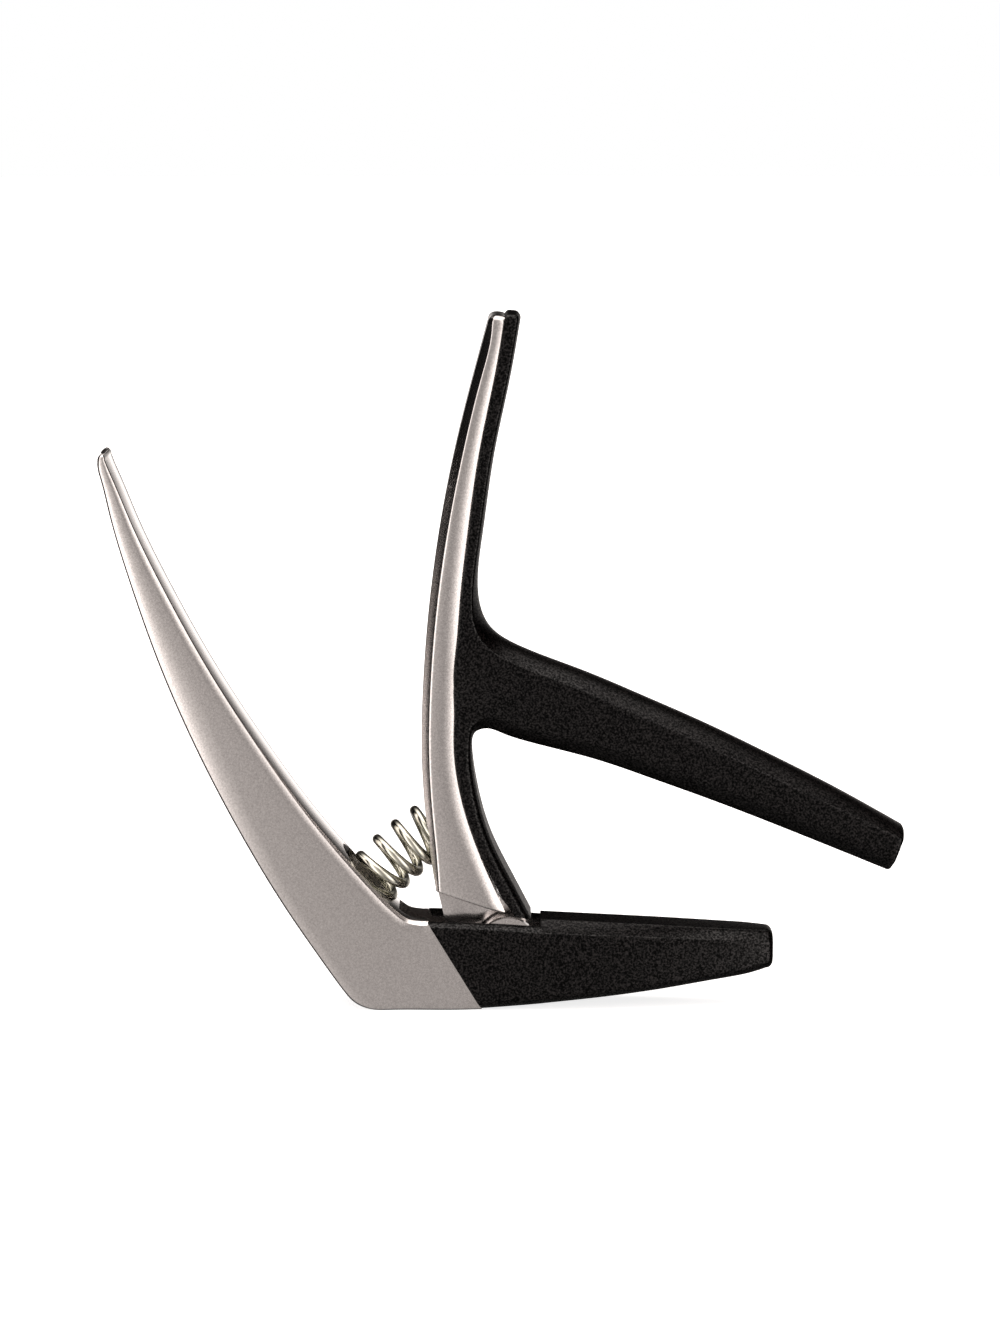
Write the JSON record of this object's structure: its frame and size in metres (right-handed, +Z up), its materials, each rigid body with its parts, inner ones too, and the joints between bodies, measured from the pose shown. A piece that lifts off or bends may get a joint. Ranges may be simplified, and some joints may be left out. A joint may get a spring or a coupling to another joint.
{
  "type": "guitar capo",
  "caption": "Squeeze-handle spring capo: a rubber string bar on a pivoting lever clamps the strings against a padded jaw behind a guitar's neck.",
  "frame": {"origin": "middle of the neck pad's crest, on the part's mid-plane", "axes": "+X along the jaws towards their free ends, +Y through the thickness, +Z up from the heel towards the handles"},
  "size_m": [0.1011, 0.0104, 0.0883],
  "materials": {
    "silver_paint": "satin metallic silver paint on a zinc casting",
    "rubber": "black, finely grained, satin",
    "pin_steel": "plain ground steel",
    "spring_nickel": "bright nickel-plated wire"
  },
  "bodies": {
    "body": {"body_casting": "silver_paint", "neck_pad": "rubber", "hinge_pin": "pin_steel", "return_spring": "spring_nickel"},
    "lever": {"lever_casting": "silver_paint", "string_bar_cover": "rubber"}
  },
  "joints": [
    {"name": "lever_hinge", "type": "hinge", "parent": "body", "child": "lever", "pos_m": [-0.0183, 0, -0.0028], "axis": [0, -1, 0], "range_deg": [0, 18], "stiffness_Nm_per_rad": 6, "springref_deg": -11.46, "deforming": ["return_spring"]}
  ]
}
